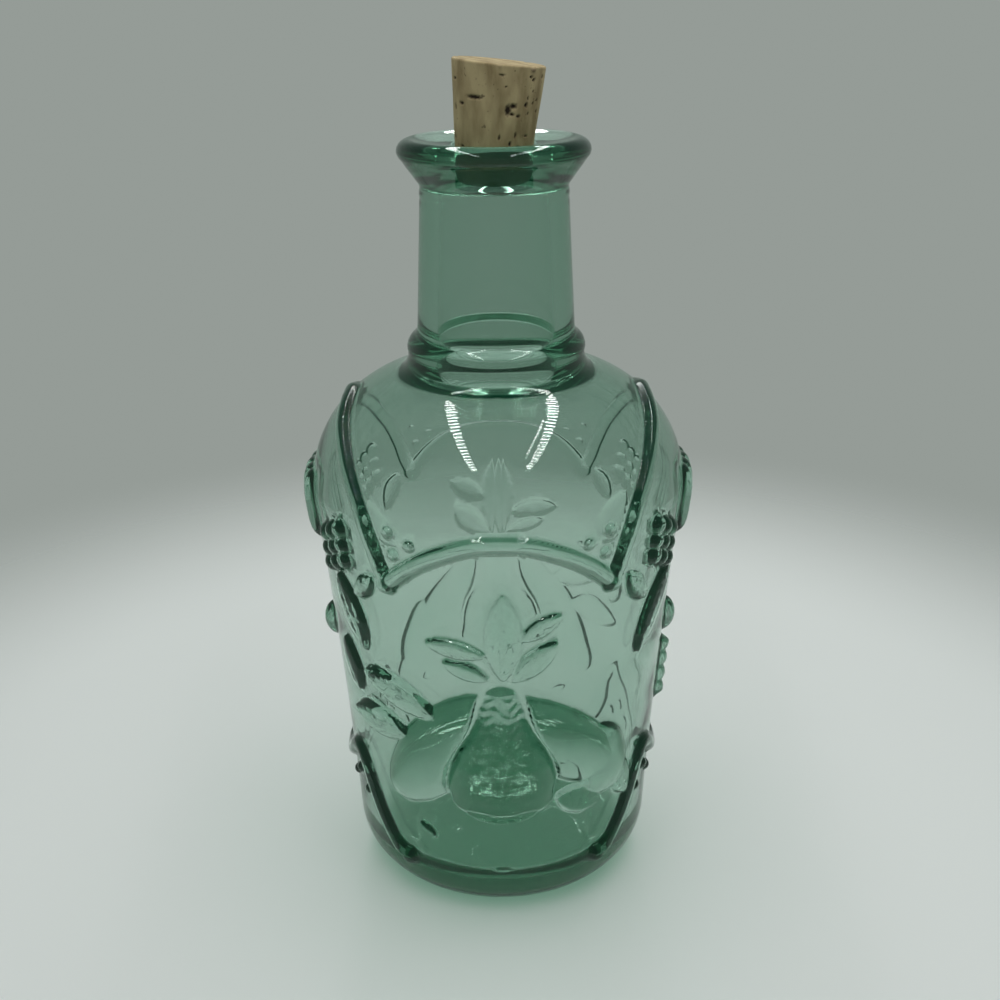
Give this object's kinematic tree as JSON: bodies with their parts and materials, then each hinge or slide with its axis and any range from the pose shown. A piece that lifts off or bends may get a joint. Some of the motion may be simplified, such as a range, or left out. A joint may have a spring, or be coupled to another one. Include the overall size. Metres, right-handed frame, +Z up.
{
  "type": "glass decanter",
  "caption": "Green glass decanter with a narrow neck, rolled lip and raised fruit, leaf and rib ornament, stopped by a tapered cork; stores and pours liquids.",
  "frame": {"origin": "middle of the base on the surface it stands on", "axes": "+Z up along the bottle's axis, -Y towards the front with the pear, +X to the right of someone facing the front"},
  "size_m": [0.1252, 0.1264, 0.2719],
  "materials": {
    "bottle": "clear pale green glass, fire-polished, slightly uneven",
    "cork": "natural cork, matt, with dark pits"
  },
  "bodies": {
    "root": {"bottle": "bottle", "cork": "cork"}
  },
  "joints": []
}
